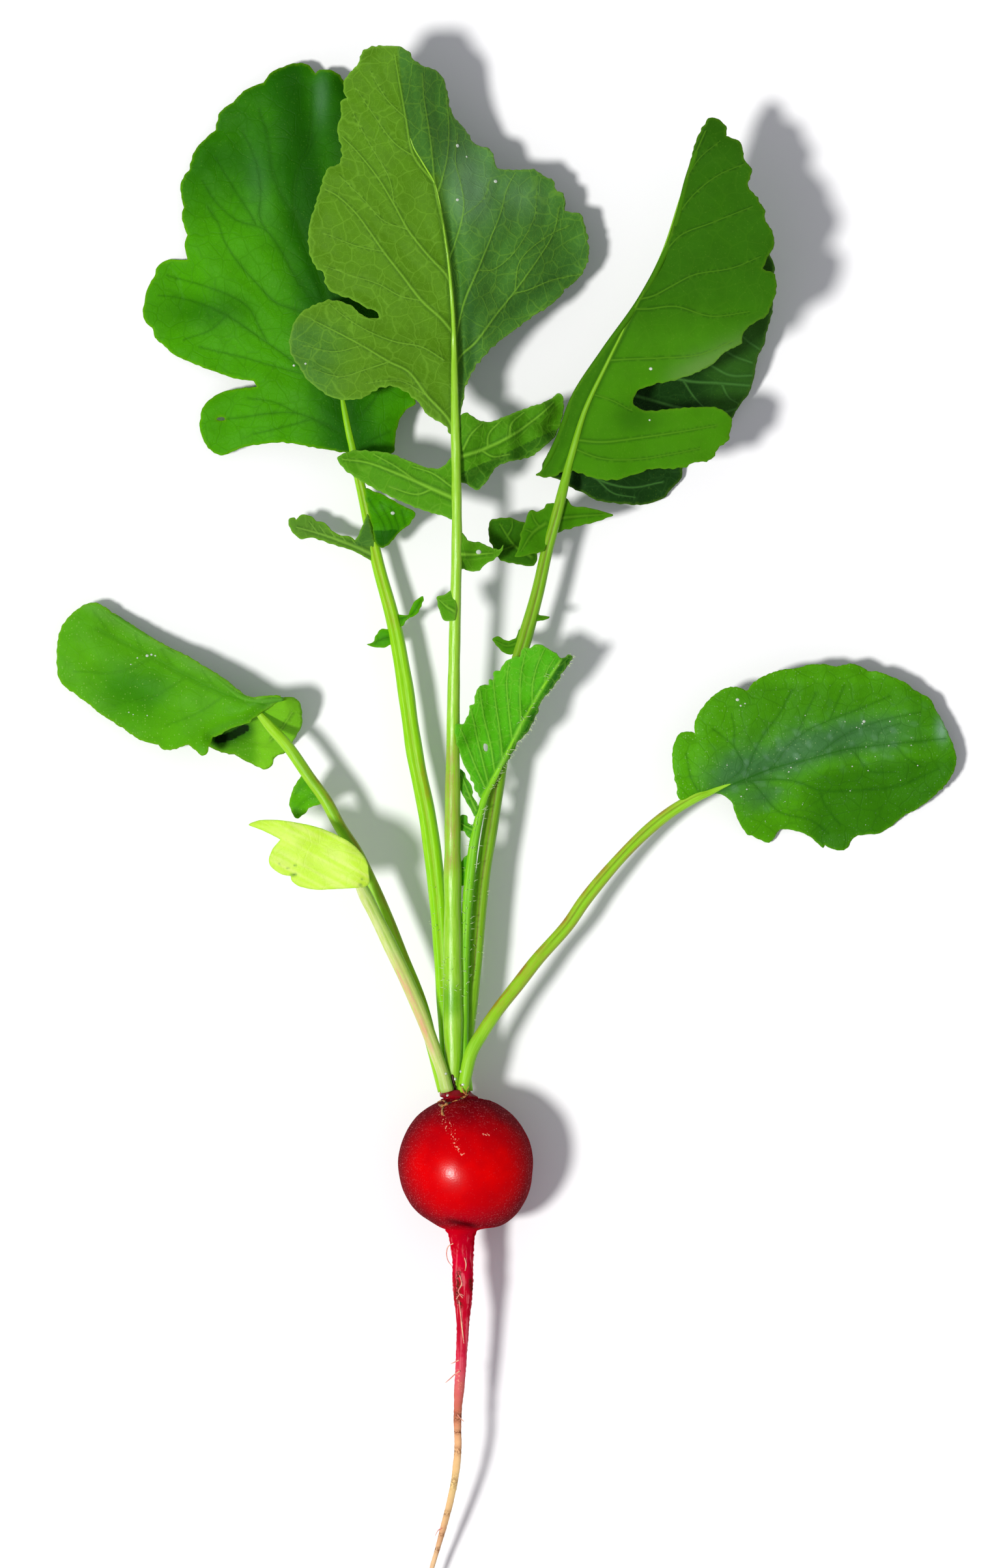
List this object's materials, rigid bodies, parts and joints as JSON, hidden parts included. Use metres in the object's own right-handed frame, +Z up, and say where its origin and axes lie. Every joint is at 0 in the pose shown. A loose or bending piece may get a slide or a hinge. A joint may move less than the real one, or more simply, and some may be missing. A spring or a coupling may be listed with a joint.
{
  "type": "radish",
  "caption": "Small round radish lying on its side: a swollen root with a long thin taproot and a spread of stalked, lobed leaves that rest on the table.",
  "frame": {"origin": "on the table, in the middle of the small flat where the swollen root rests", "axes": "+Z up from the table; +Y from the root towards the leaf tips, -Y towards the tip of the taproot; +X to the right when the leaves point up the page"},
  "size_m": [0.1659, 0.2975, 0.027],
  "materials": {
    "root_skin": "gloss",
    "leaf_stalk": "satin",
    "pale_stalk": "satin",
    "leaf_upper_side": "satin",
    "leaf_underside": "matte",
    "seed_leaf": "satin"
  },
  "bodies": {
    "root": {"swollen_root": "root_skin", "stalk_left_tall": "leaf_stalk", "blade_left_tall": "leaf_upper_side", "leaflet_left_tall_1": "leaf_upper_side", "leaflet_left_tall_2": "leaf_upper_side", "leaflet_left_tall_3": "leaf_upper_side", "leaflet_left_tall_4": "leaf_upper_side", "stalk_centre_tall": "leaf_stalk", "blade_centre_tall": "leaf_underside", "leaflet_centre_tall_1": "leaf_underside", "leaflet_centre_tall_2": "leaf_underside", "leaflet_centre_tall_3": "leaf_underside", "leaflet_centre_tall_4": "leaf_underside", "stalk_right_tall": "leaf_stalk", "blade_right_tall": "leaf_underside", "leaflet_right_tall_1": "leaf_underside", "leaflet_right_tall_2": "leaf_underside", "leaflet_right_tall_3": "leaf_underside", "leaflet_right_tall_4": "leaf_underside", "leaflet_right_tall_5": "leaf_underside", "stalk_young": "leaf_stalk", "blade_young": "leaf_upper_side", "leaflet_young_1": "leaf_upper_side", "leaflet_young_2": "leaf_upper_side", "leaflet_young_3": "leaf_upper_side", "stalk_low_right": "leaf_stalk", "blade_low_right": "leaf_upper_side", "stalk_low_left": "leaf_stalk", "blade_low_left": "leaf_upper_side", "leaflet_low_left_1": "leaf_upper_side", "stalk_seed_leaf": "pale_stalk", "blade_seed_leaf": "seed_leaf"}
  },
  "joints": []
}
